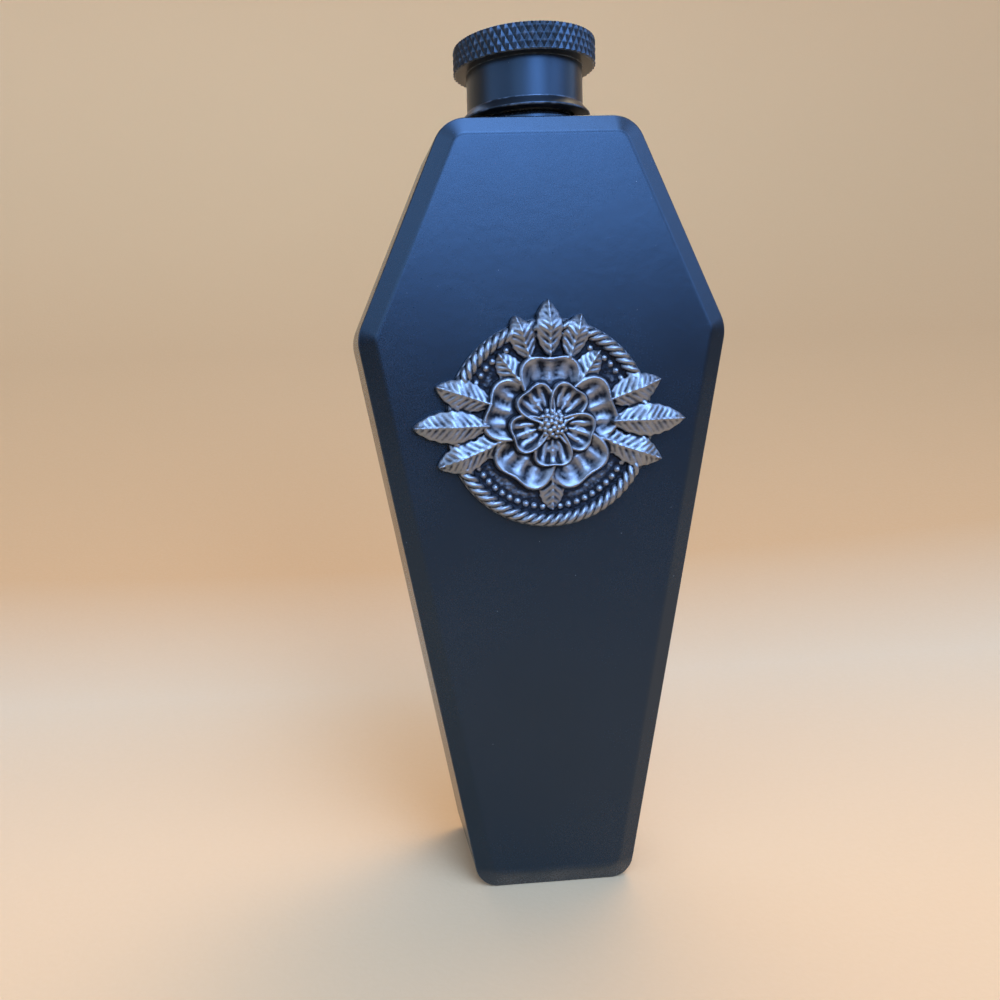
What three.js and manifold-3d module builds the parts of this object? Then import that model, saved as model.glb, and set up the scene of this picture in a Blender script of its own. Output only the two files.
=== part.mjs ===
// A coffin-shaped hip flask with a knurled screw cap and a cast badge on its front.
// Millimetres, +Z up. The origin is the middle of the foot, the front faces -Y and +X is to the right.

import * as THREE from 'three';
import { mergeVertices } from 'three/addons/utils/BufferGeometryUtils.js';
import Module from 'manifold-3d';

const wasm = await Module();
wasm.setup();

// Flask body
const bodyHeight = 157;
const shoulderHeight = 115;
const shoulderWidth = 75;
const topWidth = 38;
const footWidth = 32;
const bandDepth = 25;
const sheet = 0.8;
const bevelInset = 3.2;
const bevelRise = 1.5;
const topCornerRadius = 4.5;
const shoulderCornerRadius = 8;
const footCornerRadius = 3.5;
const faceCornerRadius = 2;
const cornerSteps = 6;

// Locating lip of each panel, and the slip fit of what is let into the band before welding
const lipDepth = 2;
const fitClearance = 0.15;

// Neck
const neckBore = 16;
const neckWall = 1.6;
const neckEdge = 0.4;
const collarOverhang = 1.6;
const collarFillet = 0.6;

// Screw cap, from its foot upwards, and its sealing disc
const capGap = 2.1;
const collarClearance = 0.8;
const threadClearance = 0.5;
const capWall = 1.8;
const capFootHeight = 2.2;
const capFootFlare = 1.5;
const capFootEdge = 0.3;
const capWaistHeight = 7.8;
const capRimHeight = 5.3;
const capRimOverhang = 2.7;
const capRoof = 1.6;
const capMouthChamfer = 0.6;
const linerThickness = 1.2;
const linerClearance = 0.2;
const sealClearance = 0.05;

// Diamond knurl on the rim of the cap
const knurlPitch = 1.58;
const knurlRowHeight = 1.46;
const knurlDepth = 0.45;
const knurlEdge = 0.45;

// Badge: a round plate with a rope rim, a double rose, and leaves that reach over the rim
const badgeCentreHeight = 97;
const padThickness = 0.4;
const padMargin = 2;
const plateRadius = 20.8;
const plateThickness = 1;
const ropeDiameter = 2.8;
const ropeMargin = 0.1;
const petalCount = 5;
const petalReach = 14.4;
const petalWidth = 16.4;
const petalNotch = 1.3;
const petalHeight = 2.6;
const innerPetalReach = 9;
const innerPetalWidth = 10.2;
const innerPetalNotch = 0.7;
const innerPetalHeight = 3.8;
const bossDiameter = 6.2;
const bossHeight = 4.7;
const leafHeight = 2.9;
const sepalRoot = 9;
const sepalReach = 17.4;
const sepalWidth = 5;
const sprigRoot = 12;
const sprigReach = 27.4;
const sprigSideReach = 24;
const sprigLeafWidth = 6;
const sprigSpread = 0.34;
const crestRoot = 13;
const crestReach = 24.3;
const crestSideReach = 22.4;
const crestLeafWidth = 5;
const crestSpread = 0.3;

// Facets round the turned pieces
const turnedSegments = 56;

// Places worked out from the sizes above
const seamDepth = bandDepth / 2;
const faceDepth = seamDepth + bevelRise;
const lipInset = sheet + fitClearance;
const neckRadius = neckBore / 2 + neckWall;
const capBoreRadius = neckRadius + threadClearance;
const capWaistRadius = capBoreRadius + capWall;
const capFootRadius = capWaistRadius + capFootFlare;
const capRimRadius = capWaistRadius + capRimOverhang;
const capRimBase = capFootHeight + capWaistHeight;
const capHeight = capRimBase + capRimHeight;
const capRoofHeight = capHeight - capRoof;
const linerBase = capRoofHeight - linerThickness;
const neckRim = capGap + linerBase - sealClearance;

const paintedSteel = { color: 0x15171b, roughness: 0.5, metalness: 0.3 };
const bareSteel = { color: 0x8d9196, roughness: 0.35, metalness: 1 };
const silicone = { color: 0xd8d6cf, roughness: 0.7, metalness: 0 };
const castPewter = { color: 0x8f9399, roughness: 0.4, metalness: 0.9 };
const tapeFoam = { color: 0x1c1c1c, roughness: 0.95, metalness: 0 };

function namedMesh(name, geometry, look) {
  const mesh = new THREE.Mesh(geometry, new THREE.MeshStandardMaterial(look));
  mesh.name = name;
  return mesh;
}

// Solids and booleans

function weldedGeometry(geometry) {
  const bare = geometry.clone();
  bare.deleteAttribute('normal');
  bare.deleteAttribute('uv');
  return mergeVertices(bare);
}

function solidOf(geometry) {
  const welded = weldedGeometry(geometry);
  const vertProperties = new Float32Array(welded.attributes.position.array);
  const triVerts = new Uint32Array(welded.index.array);
  return new wasm.Manifold(new wasm.Mesh({ numProp: 3, vertProperties, triVerts }));
}

function geometryOf(solid) {
  const mesh = solid.getMesh();
  const geometry = new THREE.BufferGeometry();
  geometry.setAttribute('position', new THREE.BufferAttribute(mesh.vertProperties, 3));
  geometry.setIndex(new THREE.BufferAttribute(mesh.triVerts, 1));
  return geometry;
}

// A closed profile of [radius, height] turned about Z, listed up its outside and down its inside
function turned(profile) {
  const points = profile.map(([radius, height]) => new THREE.Vector2(radius, height));
  return weldedGeometry(new THREE.LatheGeometry(points, turnedSegments).rotateX(Math.PI / 2));
}

// Joins rings of points, each with the same count, and closes the first and the last one.
// The rings run counter-clockwise as seen from outside the last one. Each four-sided patch is
// split along its shorter diagonal. `flat` drops a point into the plane of the closing faces.
function solidFromRings(rings, flat) {
  const count = rings[0].length;
  const positions = rings.flat().flatMap((point) => point.toArray());
  const indices = [];
  const closing = (ring) => THREE.ShapeUtils.triangulateShape(ring.map(flat), []);
  for (const [a, b, c] of closing(rings[0])) indices.push(a, c, b);
  for (let level = 0; level + 1 < rings.length; level += 1) {
    for (let i = 0; i < count; i += 1) {
      const next = (i + 1) % count;
      const [a, b] = [level * count + i, level * count + next];
      const [c, d] = [b + count, a + count];
      const rising = rings[level][i].distanceTo(rings[level + 1][next]);
      const falling = rings[level][next].distanceTo(rings[level + 1][i]);
      if (rising < falling) indices.push(a, b, c, a, c, d);
      else indices.push(a, b, d, b, c, d);
    }
  }
  const start = (rings.length - 1) * count;
  for (const [a, b, c] of closing(rings.at(-1))) indices.push(start + a, start + b, start + c);
  const geometry = new THREE.BufferGeometry();
  geometry.setAttribute('position', new THREE.Float32BufferAttribute(positions, 3));
  geometry.setIndex(indices);
  return geometry;
}

// Flask body

function coffinCorners() {
  const right = [
    { x: footWidth / 2, z: 0, radius: footCornerRadius },
    { x: shoulderWidth / 2, z: shoulderHeight, radius: shoulderCornerRadius },
    { x: topWidth / 2, z: bodyHeight, radius: topCornerRadius },
  ];
  const left = right.map((corner) => ({ ...corner, x: -corner.x })).reverse();
  return [...right, ...left];
}

// The coffin outline moved inwards, counter-clockwise from the front, with its corners rounded
function coffinOutline(inset) {
  const corners = coffinCorners();
  const places = corners.map((corner) => new THREE.Vector2(corner.x, corner.z));
  const outline = [];
  corners.forEach((corner, i) => {
    const place = places[i];
    const arriving = place.clone().sub(places.at(i - 1)).normalize();
    const leaving = places[(i + 1) % places.length].clone().sub(place).normalize();
    const turn = arriving.angleTo(leaving);
    const inward = leaving.clone().sub(arriving).normalize();
    const radius = Math.max(corner.radius - inset, faceCornerRadius);
    const centre = place.clone().addScaledVector(inward, (radius + inset) / Math.cos(turn / 2));
    const start = Math.atan2(-inward.y, -inward.x) - turn / 2;
    for (let step = 0; step <= cornerSteps; step += 1) {
      const angle = start + (turn * step) / cornerSteps;
      const spoke = new THREE.Vector2(Math.cos(angle), Math.sin(angle));
      outline.push(centre.clone().addScaledVector(spoke, radius));
    }
  });
  return outline;
}

// A strip bent round the outline, with the hole for the neck in its top
function sideBand() {
  const shape = new THREE.Shape(coffinOutline(0));
  shape.holes.push(new THREE.Path(coffinOutline(sheet)));
  const strip = new THREE.ExtrudeGeometry(shape, { depth: bandDepth, bevelEnabled: false });
  strip.rotateX(Math.PI / 2).translate(0, seamDepth, 0);
  const holeRadius = neckRadius + fitClearance;
  const drill = new THREE.CylinderGeometry(holeRadius, holeRadius, 4 * sheet, turnedSegments);
  drill.rotateX(Math.PI / 2).translate(0, 0, bodyHeight);
  return geometryOf(solidOf(strip).subtract(solidOf(drill)));
}

// A pressed panel facing -Y: flat face, sloping rim, and a lip that drops inside the band
function panel() {
  const slope = bevelRise / bevelInset;
  const faceInset = bevelInset + sheet * Math.tan(Math.atan(slope) / 2);
  const innerInset = lipInset + sheet;
  const innerFace = faceDepth - sheet;
  const innerRim = innerFace - (faceInset - innerInset) * slope;
  const ringAt = ([inset, depth]) => coffinOutline(inset).map(({ x, y }) => new THREE.Vector3(x, -depth, y));
  const profile = [
    [faceInset, innerFace],
    [innerInset, innerRim],
    [innerInset, seamDepth - lipDepth],
    [lipInset, seamDepth - lipDepth],
    [lipInset, seamDepth],
    [0, seamDepth],
    [bevelInset, faceDepth],
  ];
  return solidFromRings(profile.map(ringAt), ({ x, z }) => new THREE.Vector2(x, z));
}

// The spout, with height 0 at the top of the band: a plug through the band, a collar and a tube
function neck() {
  const boreRadius = neckBore / 2;
  const collarRadius = neckRadius + collarOverhang;
  const collarHeight = capGap - collarClearance;
  return turned([
    [boreRadius, -sheet],
    [neckRadius, -sheet],
    [neckRadius, 0],
    [collarRadius, 0],
    [collarRadius, collarHeight - collarFillet],
    [collarRadius - collarFillet, collarHeight],
    [neckRadius, collarHeight],
    [neckRadius, neckRim - neckEdge],
    [neckRadius - neckEdge, neckRim],
    [boreRadius + neckEdge, neckRim],
    [boreRadius, neckRim - neckEdge],
    [boreRadius, -sheet],
  ]);
}

// Screw cap, with height 0 at its foot

const knurlDiamonds = Math.round((2 * Math.PI * capRimRadius) / knurlPitch);
const knurlColumns = 2 * knurlDiamonds;
const knurlRows = Math.max(1, Math.round((capRimHeight - 2 * knurlEdge) / knurlRowHeight));

function ringOf(height, radiusAt) {
  return Array.from({ length: knurlColumns }, (_, column) => {
    const angle = (2 * Math.PI * column) / knurlColumns;
    const radius = radiusAt(column);
    return new THREE.Vector3(radius * Math.cos(angle), radius * Math.sin(angle), height);
  });
}

// Peaks and valleys alternate round each row and from row to row, which makes pyramids of four sides
function knurlRings() {
  const base = capRimBase + knurlEdge;
  const step = (capRimHeight - 2 * knurlEdge) / knurlRows;
  return Array.from({ length: knurlRows + 1 }, (_, row) =>
    ringOf(base + row * step, (column) => capRimRadius - ((column + row) % 2) * knurlDepth),
  );
}

// The flare of the foot sweeps out of the waist along a quarter of a wave
function footRings() {
  const steps = 3;
  const rise = capFootHeight - capFootEdge;
  return Array.from({ length: steps + 1 }, (_, step) => {
    const share = step / steps;
    const radius = capWaistRadius + capFootFlare * (1 - Math.sin((share * Math.PI) / 2));
    return ringOf(capFootEdge + rise * share, () => radius);
  });
}

function cap() {
  const plainRing = ([radius, height]) => ringOf(height, () => radius);
  const inside = [
    [capBoreRadius, capRoofHeight],
    [capBoreRadius, capMouthChamfer],
    [capBoreRadius + capMouthChamfer, 0],
    [capFootRadius - capFootEdge, 0],
  ];
  const underRim = [
    [capWaistRadius, capRimBase],
    [capRimRadius - knurlEdge, capRimBase],
  ];
  const top = [[capRimRadius - knurlEdge - knurlDepth, capHeight]];
  const rings = [
    ...inside.map(plainRing),
    ...footRings(),
    ...underRim.map(plainRing),
    ...knurlRings(),
    ...top.map(plainRing),
  ];
  return solidFromRings(rings, ({ x, y }) => new THREE.Vector2(x, y));
}

function capLiner() {
  const radius = capBoreRadius - linerClearance;
  return turned([
    [0, linerBase],
    [radius, linerBase],
    [radius, capRoofHeight],
    [0, capRoofHeight],
  ]);
}

// Badge, drawn flat: x across, y up, z out of the face

function badgePad() {
  const radius = plateRadius - padMargin;
  return turned([
    [0, 0],
    [radius, 0],
    [radius, padThickness],
    [0, padThickness],
  ]);
}

// Raises an outline drawn along +x: each level is [share of the length kept, share of the width kept, height]
function raised(outline, levels) {
  const middle = outline.reduce((sum, point) => sum + point.x, 0) / outline.length;
  const rings = levels.map(([along, across, height]) =>
    outline.map(({ x, y }) => new THREE.Vector3(middle + (x - middle) * along, y * across, height)),
  );
  return solidFromRings(rings, ({ x, y }) => new THREE.Vector2(x, y));
}

// A petal is an egg with its broad end outwards, notched there, and dished inside its raised edge
function petal(reach, width, notch, height) {
  const count = 16;
  const notchSpread = 0.4;
  const outline = Array.from({ length: count }, (_, i) => {
    const angle = (2 * Math.PI * i) / count;
    const out = (1 + Math.cos(angle)) / 2;
    const fromTip = Math.min(angle, 2 * Math.PI - angle);
    const dip = notch * Math.exp(-((fromTip / notchSpread) ** 2));
    return new THREE.Vector2(reach * out - dip, (width / 2) * Math.sin(angle) * (0.4 + 0.6 * out));
  });
  return raised(outline, [
    [1, 1, 0],
    [1, 1, 0.8 * height],
    [0.93, 0.93, height],
    [0.76, 0.76, 0.92 * height],
    [0.4, 0.4, 0.7 * height],
  ]);
}

// A leaf is pointed at both ends and rises from its edge to its midrib
function leaf(root, reach, width) {
  const steps = 7;
  const side = (direction) =>
    Array.from({ length: steps }, (_, i) => {
      const along = (direction * (2 * i - steps)) / steps;
      const x = root + ((reach - root) * (1 + along)) / 2;
      return new THREE.Vector2(x, (-direction * width * (1 - along * along)) / 2);
    });
  const outline = [...side(1), ...side(-1)];
  return raised(outline, [
    [1, 1, 0],
    [1, 1, 0.6 * leafHeight],
    [0.9, 0.12, leafHeight],
  ]);
}

// The round middle of the rose, a post with a domed end
function boss() {
  const steps = 5;
  const radius = bossDiameter / 2;
  const profile = [[0, 0], [radius, 0]];
  for (let step = 0; step < steps; step += 1) {
    const angle = (Math.PI / 2) * (step / steps);
    profile.push([radius * Math.cos(angle), bossHeight - radius + radius * Math.sin(angle)]);
  }
  return turned([...profile, [0, bossHeight]]);
}

function rose() {
  const upwards = Math.PI / 2;
  const turn = (2 * Math.PI) / petalCount;
  const pieces = [];
  for (let i = 0; i < petalCount; i += 1) {
    const outer = upwards + i * turn;
    const between = outer + turn / 2;
    pieces.push(petal(petalReach, petalWidth, petalNotch, petalHeight).rotateZ(outer));
    pieces.push(petal(innerPetalReach, innerPetalWidth, innerPetalNotch, innerPetalHeight).rotateZ(between));
    pieces.push(leaf(sepalRoot, sepalReach, sepalWidth).rotateZ(between));
  }
  return [...pieces, boss()];
}

// Three leaves side by side, the middle one longest
function sprig(angle, root, reach, sideReach, width, spread) {
  return [
    leaf(root, sideReach, width).rotateZ(angle - spread),
    leaf(root, sideReach, width).rotateZ(angle + spread),
    leaf(root, reach, width).rotateZ(angle),
  ];
}

function badge() {
  const plate = turned([
    [0, 0],
    [plateRadius, 0],
    [plateRadius, plateThickness],
    [0, plateThickness],
  ]);
  const ropeRadius = ropeDiameter / 2;
  const rope = new THREE.TorusGeometry(plateRadius - ropeRadius - ropeMargin, ropeRadius, 6, turnedSegments);
  const pieces = [
    rope.translate(0, 0, ropeRadius),
    ...rose(),
    ...sprig(0, sprigRoot, sprigReach, sprigSideReach, sprigLeafWidth, sprigSpread),
    ...sprig(Math.PI, sprigRoot, sprigReach, sprigSideReach, sprigLeafWidth, sprigSpread),
    ...sprig(Math.PI / 2, crestRoot, crestReach, crestSideReach, crestLeafWidth, crestSpread),
  ];
  const whole = pieces.reduce((joined, piece) => joined.add(solidOf(piece)), solidOf(plate));
  return geometryOf(whole);
}

// Assembly

function bodyGroup() {
  const group = new THREE.Group();
  const front = namedMesh('front_panel', panel(), paintedSteel);
  const back = namedMesh('back_panel', panel(), paintedSteel);
  back.rotation.z = Math.PI;
  const spout = namedMesh('neck', neck(), bareSteel);
  spout.position.z = bodyHeight;
  group.add(namedMesh('side_band', sideBand(), paintedSteel), front, back, spout);
  return group;
}

function capGroup() {
  const group = new THREE.Group();
  group.add(namedMesh('cap', cap(), paintedSteel), namedMesh('cap_liner', capLiner(), silicone));
  group.position.z = bodyHeight + capGap;
  return group;
}

function badgeGroup() {
  const group = new THREE.Group();
  const relief = namedMesh('badge', badge(), castPewter);
  relief.position.z = padThickness;
  group.add(namedMesh('badge_adhesive', badgePad(), tapeFoam), relief);
  group.position.set(0, -faceDepth, badgeCentreHeight);
  group.rotation.x = Math.PI / 2;
  return group;
}

const flask = new THREE.Group();
flask.add(bodyGroup(), capGroup(), badgeGroup());

export default flask;
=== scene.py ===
"""The looks of a coffin flask: a satin black body, a knurled screw cap and a cast pewter badge."""

from math import atan2, cos, pi, radians, sin, tan

import bmesh
import bpy
import numpy as np
from mathutils import Matrix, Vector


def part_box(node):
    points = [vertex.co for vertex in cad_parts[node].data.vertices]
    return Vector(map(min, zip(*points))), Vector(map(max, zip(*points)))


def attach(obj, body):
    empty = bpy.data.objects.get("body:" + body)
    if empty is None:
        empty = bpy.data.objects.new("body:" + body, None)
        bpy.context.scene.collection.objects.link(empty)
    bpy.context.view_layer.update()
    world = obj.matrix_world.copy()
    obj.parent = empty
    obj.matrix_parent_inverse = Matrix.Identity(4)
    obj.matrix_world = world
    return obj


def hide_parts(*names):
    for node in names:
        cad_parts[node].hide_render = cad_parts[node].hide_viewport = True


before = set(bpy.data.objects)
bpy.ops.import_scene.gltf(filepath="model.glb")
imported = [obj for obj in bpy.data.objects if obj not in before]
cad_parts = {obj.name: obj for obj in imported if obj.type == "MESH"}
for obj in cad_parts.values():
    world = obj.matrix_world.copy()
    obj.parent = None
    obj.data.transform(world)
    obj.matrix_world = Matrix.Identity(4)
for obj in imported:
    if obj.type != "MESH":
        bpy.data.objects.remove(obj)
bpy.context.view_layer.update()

# Sizes of the flask in millimetres, those of whole pieces read from the frame
METRE = 1000.0


def frame_box(node):
    """The lowest and highest corner of a node, in millimetres."""
    low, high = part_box(node)
    return np.array(low) * METRE, np.array(high) * METRE


BAND_HIGH = frame_box("side_band")[1]
NECK_LOW, NECK_HIGH = frame_box("neck")
CAP_LOW, CAP_HIGH = frame_box("cap")
LINER_LOW, LINER_HIGH = frame_box("cap_liner")
PAD_LOW, PAD_HIGH = frame_box("badge_adhesive")

# Body
BODY_HEIGHT = BAND_HIGH[2]
SHOULDER_HEIGHT = 115.0
SHOULDER_WIDTH = 75.0
TOP_WIDTH = 38.0
FOOT_WIDTH = 32.0
TOP_CORNER = 6.8
SHOULDER_CORNER = 8.0
FOOT_CORNER = 4.8
FACE_CORNER = 2.6
CORNER_STEPS = 18
SHEET = 0.8
SEAM_DEPTH = BAND_HIGH[1]
RETURN_WALL = 0.7
JOINT_DEPTH = SEAM_DEPTH - RETURN_WALL
BEVEL_INSET = 3.5
BEVEL_RISE = 1.5
BEVEL_RADIUS = 2.4
FACE_DEPTH = SEAM_DEPTH + BEVEL_RISE
FACE_RING_INSET = 6.0
EDGE_RADIUS = 0.45
DRILL_DEPTH = 5 * SHEET

# Neck and thread
NECK_BORE = 8.0
NECK_RADIUS = 9.6
NECK_RIM = 0.4
COLLAR_RADIUS = NECK_HIGH[0]
COLLAR_HEIGHT = 1.3
COLLAR_TOP = BODY_HEIGHT + COLLAR_HEIGHT
COLLAR_ROUND = 0.6
PAINT_RUN = 0.8
PAINT_TOP = COLLAR_TOP + PAINT_RUN
THREAD_PITCH = 2.5
THREAD_LOW = 160.6
THREAD_HIGH = 170.4
THREAD_STEPS = 72
THREAD_FADE_STEPS = THREAD_STEPS / 5
THREAD_LEAST = 0.02
THREAD_ROOT_HALF = 0.6
THREAD_CREST_HALF = 0.2
THREAD_SINK = 0.15
NECK_CREST = 10.0
CAP_CREST = 9.75
NECK_PHASE = 0.0
CAP_PHASE = 0.5

# Cap and liner
CAP_FOOT, CAP_TOP = CAP_LOW[2], CAP_HIGH[2]
CAP_BORE = 10.1
CAP_WAIST = 11.9
CAP_FLARE = 13.7
CAP_RIM = CAP_HIGH[0]
FLARE_HEIGHT = 2.05
WAIST_HEIGHT = 7.95
FLARE_TOP = CAP_FOOT + FLARE_HEIGHT
RIM_LOW = FLARE_TOP + WAIST_HEIGHT
CAP_ROOF = 1.6
MOUTH_CHAMFER = 0.6
CAP_EDGE = 0.3
CAP_MIDDLE = 0.4
FLARE_ROUND = 0.5
FLARE_EDGE = 0.28
RIM_ROUND = 0.15
KNURL_DIAMONDS = 60
KNURL_ROWS = 3.5
KNURL_DEPTH = 0.34
KNURL_MARGIN = 0.16
KNURL_FLAT = 0.1
# Sharpness of the worn knurl tips, which also carry a painted highlight
TIP_RUB_AND_HIGHLIGHT = 3
DIAMOND_COLUMNS = 8
ROW_STEPS = 8
CAP_COLUMNS = KNURL_DIAMONDS * DIAMOND_COLUMNS
LINER_MIDDLE = 0.3
LINER_ROUND = 0.2
SEAL_HEIGHT = 0.15
SEAL_HALF = 0.6
SEAL_INSIDE = 1.0
SEAL_OUTSIDE = 0.9
SEAL_FILLET = 0.1

# Steps of round shapes, and the angles in degrees under which edges are shaded smooth
ROUND_STEPS = 6
TURNED_COLUMNS = 160
SMOOTH_BELOW = 40
KNURL_SMOOTH_BELOW = 34
CAST_SMOOTH_BELOW = 180

# The badge, in its own plane: across, up and out from its back
BADGE_HEIGHT = (PAD_LOW[2] + PAD_HIGH[2]) / 2
BADGE_BACK = PAD_LOW[1]
PLATE_RADIUS = 20.8
PLATE_THICKNESS = 1.0
PLATE_EDGE = 0.3
PLATE_MIDDLE = 0.2
PLATE_LEDGE = 0.1
ROPE_RADIUS = 1.4
ROPE_CENTRE = PLATE_RADIUS - PLATE_LEDGE - ROPE_RADIUS
ROPE_STRANDS = 3
ROPE_TWIST = 0.46
ROPE_TURNS = 22
ROPE_TURN_STEPS = 20
STRAND_SIDES = 10
BEAD_COUNT = 60
BEAD_RADIUS = 0.62
BEAD_CENTRE = 16.75
BEAD_ROWS = 8
BEAD_COLUMNS = 14
BOSS_RADIUS = 3.1
BOSS_HEIGHT = 4.3
BOSS_SINK = 1.2
BOSS_ROWS = 10
BOSS_COLUMNS = 48
SEED_COUNT = 30
SEED_RADIUS = 0.52
SEED_REACH = 0.95
SEED_SINK = 0.25
CAST_VOXEL = 0.15
HOLLOW_REACH = 30
HOLLOW_DEPTH = 0.12

# Petals
PETALS = 5
OUTER_PETAL = dict(reach=14.4, width=16.8, notch=1.3, height=2.75)
INNER_PETAL = dict(reach=9.0, width=10.4, notch=0.7, height=3.9)
# From the rim to the middle: a share of the outline, and how far it lies from the petal's height
PETAL_SECTION = [(1.0, -0.75), (0.975, -0.3), (0.945, -0.06), (0.915, 0.0), (0.88, -0.1), (0.82, -0.38),
                 (0.74, -0.66), (0.6, -0.9), (0.45, -1.0), (0.3, -1.0), (0.1, -0.95)]
PETAL_POINTS = 64
PETAL_FLOOR = 0.5
PETAL_MIDDLE = 0.55
PETAL_NARROW = 0.4
PETAL_NOTCH_WIDTH = 0.4
PETAL_FAN_ROOT = 0.12
PETAL_DISH = 0.9
PETAL_VEINS = 26
PETAL_VEIN_HEIGHT = 0.16
PETAL_VEIN_FADE = 3
PETAL_LAP = 0.045
PETAL_CURLS = 9
PETAL_CURL_HEIGHT = 0.1
PETAL_RIM_INSIDE = 0.87
PETAL_RIM_OUTSIDE = 0.98

# Leaves
SEPAL = dict(root=9.0, reach=17.4, width=5.0, height=2.7)
SPRIG_LEAF = dict(root=12.0, reach=27.4, width=6.4, height=3.0)
SPRIG_SIDE_LEAF = dict(root=12.0, reach=24.0, width=6.0, height=2.6)
SPRIG_SPREAD = 0.34
CREST_LEAF = dict(root=13.0, reach=24.3, width=5.2, height=3.0)
CREST_SIDE_LEAF = dict(root=13.0, reach=22.4, width=5.0, height=2.6)
CREST_SPREAD = 0.3
LEAF_STATIONS = 56
LEAF_SPANS = 17
LEAF_TIP = 0.012
LEAF_FULLNESS = 0.85
LEAF_TEETH = 7
LEAF_TOOTH_DEPTH = 0.09
LEAF_TOOTH_ROOT = 0.05
LEAF_SLOPE = 0.85
LEAF_DOME = 0.8
LEAF_FALL = 0.3
LEAF_FOOT = 0.2
LEAF_RIB_HEIGHT = 0.22
LEAF_RIB_WIDTH = 0.3
LEAF_VEIN_HEIGHT = 0.09
LEAF_VEIN_PITCH = 1.35
LEAF_VEIN_SLANT = 0.9
LEAF_VEIN_FADE = 4
ROPE_ARCH = 1.0
ROPE_ARCH_WIDTH = 1.5


class Shape:
    """Points in millimetres with their wear, and the faces between them."""

    def __init__(self):
        self.points = []
        self.wear = []
        self.faces = []

    def loft(self, rings, wear=None, loop=False, lid=True):
        """Joins rings of equal length. The first and last are closed flat, or meet when it is a loop."""
        first = len(self.points)
        count = len(rings[0])
        wear = wear if wear is not None else [0.0] * len(rings)
        for ring, worn in zip(rings, wear):
            self.points.extend(map(tuple, ring))
            self.wear.extend(np.broadcast_to(worn, count))
        for row in range(len(rings) if loop else len(rings) - 1):
            here = first + row * count
            above = first + (row + 1) % len(rings) * count
            for column in range(count):
                beside = (column + 1) % count
                self.faces.append((here + column, here + beside, above + beside, above + column))
        if not loop:
            last = first + (len(rings) - 1) * count
            self.faces.append(tuple(range(first, first + count)))
            if lid:
                self.faces.append(tuple(range(last + count - 1, last - 1, -1)))

    def moved(self, move):
        """The same shape with each point passed through move."""
        copy = Shape()
        copy.points = [move(*point) for point in self.points]
        copy.wear = list(self.wear)
        copy.faces = list(self.faces)
        return copy

    def add(self, other):
        """Takes in the points and faces of another shape."""
        first = len(self.points)
        self.points.extend(other.points)
        self.wear.extend(other.wear)
        self.faces.extend(tuple(first + corner for corner in face) for face in other.faces)

    def mesh(self, name, unit=METRE):
        """A mesh in metres, or in the shape's own unit when that is 1."""
        mesh = bpy.data.meshes.new(name)
        mesh.from_pydata((np.array(self.points) / unit).tolist(), [], self.faces)
        face_outwards(mesh)
        mesh.attributes.new("wear", "FLOAT", "POINT").data.foreach_set("value", self.wear)
        return mesh


def face_outwards(mesh):
    """Turns all faces of a mesh to its outside."""
    work = bmesh.new()
    work.from_mesh(mesh)
    bmesh.ops.recalc_face_normals(work, faces=work.faces)
    work.to_mesh(mesh)
    work.free()


def dress(name, mesh, body, node, slot, *materials, sharp=SMOOTH_BELOW):
    """Puts a mesh in the scene in place of a CAD node, smooth but for edges over the sharp angle."""
    mesh.shade_smooth()
    mesh.set_sharp_from_angle(angle=radians(sharp))
    for material in materials:
        mesh.materials.append(material)
    piece = bpy.data.objects.new(name, mesh)
    bpy.context.scene.collection.objects.link(piece)
    piece.modifiers.new("even_shading", "WEIGHTED_NORMAL").keep_sharp = True
    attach(piece, body)
    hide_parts(node)


def changed_mesh(mesh, change):
    """A new mesh made by running modifiers, which change adds to a passing object, on a mesh."""
    holder = bpy.data.objects.new("passing", mesh)
    bpy.context.scene.collection.objects.link(holder)
    change(holder)
    shaped = holder.evaluated_get(bpy.context.evaluated_depsgraph_get())
    result = bpy.data.meshes.new_from_object(shaped)
    bpy.data.objects.remove(holder)
    return result


# Outlines and profiles
def rounded(corners, steps=ROUND_STEPS):
    """A profile through (across, along, radius) corners, and how worn each of its points is."""
    line, wear = [], []
    for number, (across, along, radius) in enumerate(corners):
        if radius == 0:
            line.append((across, along))
            wear.append(0.0)
            continue
        before = corners[number - 1]
        after = corners[(number + 1) % len(corners)]
        arrive = atan2(along - before[1], across - before[0])
        leave = atan2(after[1] - along, after[0] - across)
        turn = (leave - arrive + pi) % (2 * pi) - pi
        side = 1 if turn > 0 else -1
        setback = radius * tan(abs(turn) / 2)
        centre = (across - setback * cos(arrive) - side * radius * sin(arrive),
                  along - setback * sin(arrive) + side * radius * cos(arrive))
        for step in range(steps + 1):
            angle = arrive + turn * step / steps - side * pi / 2
            line.append((centre[0] + radius * cos(angle), centre[1] + radius * sin(angle)))
            wear.append(sin(pi * step / steps))
    return line, wear


def coffin_corners():
    """The six corners of the outline, anticlockwise from the lower right, with their radii."""
    right = [(FOOT_WIDTH / 2, 0.0, FOOT_CORNER),
             (SHOULDER_WIDTH / 2, SHOULDER_HEIGHT, SHOULDER_CORNER),
             (TOP_WIDTH / 2, BODY_HEIGHT, TOP_CORNER)]
    left = [(-across, up, radius) for across, up, radius in reversed(right)]
    return right + left


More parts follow.
